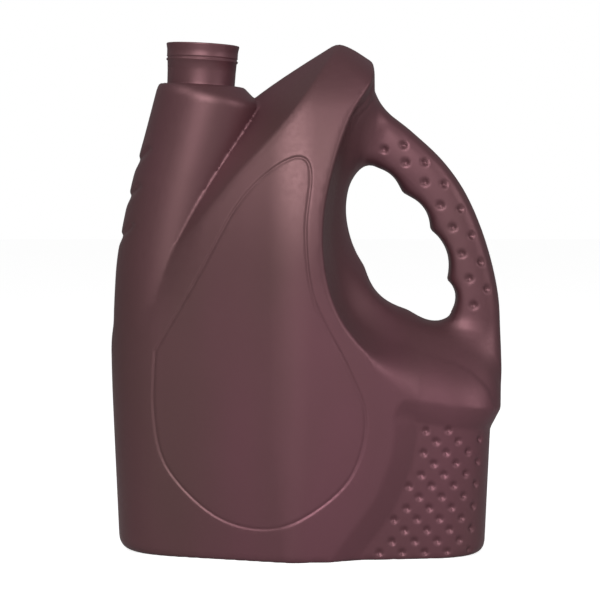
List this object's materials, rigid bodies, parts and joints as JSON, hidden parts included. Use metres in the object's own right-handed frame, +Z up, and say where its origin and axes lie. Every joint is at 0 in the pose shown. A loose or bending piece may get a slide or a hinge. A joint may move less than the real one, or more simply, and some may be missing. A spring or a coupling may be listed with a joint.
{
  "type": "plastic jerrycan",
  "caption": "Blow-moulded canister for liquids with a hollow side handle, finger hollows, an open screw neck at one corner, a sunk label field and a dimpled grip panel",
  "frame": {"origin": "centre of the bounding box on the ground plane, under the middle of the base", "axes": "+X from the neck side to the handle side, +Y away from the viewer across the mould halves, +Z up"},
  "size_m": [0.228, 0.1118, 0.2947],
  "materials": {
    "maroon_plastic": "satin blow-moulded polyethylene, pigmented maroon with a faint pearl sheen"
  },
  "bodies": {
    "root": {"jerrycan_body": "maroon_plastic"}
  },
  "joints": []
}
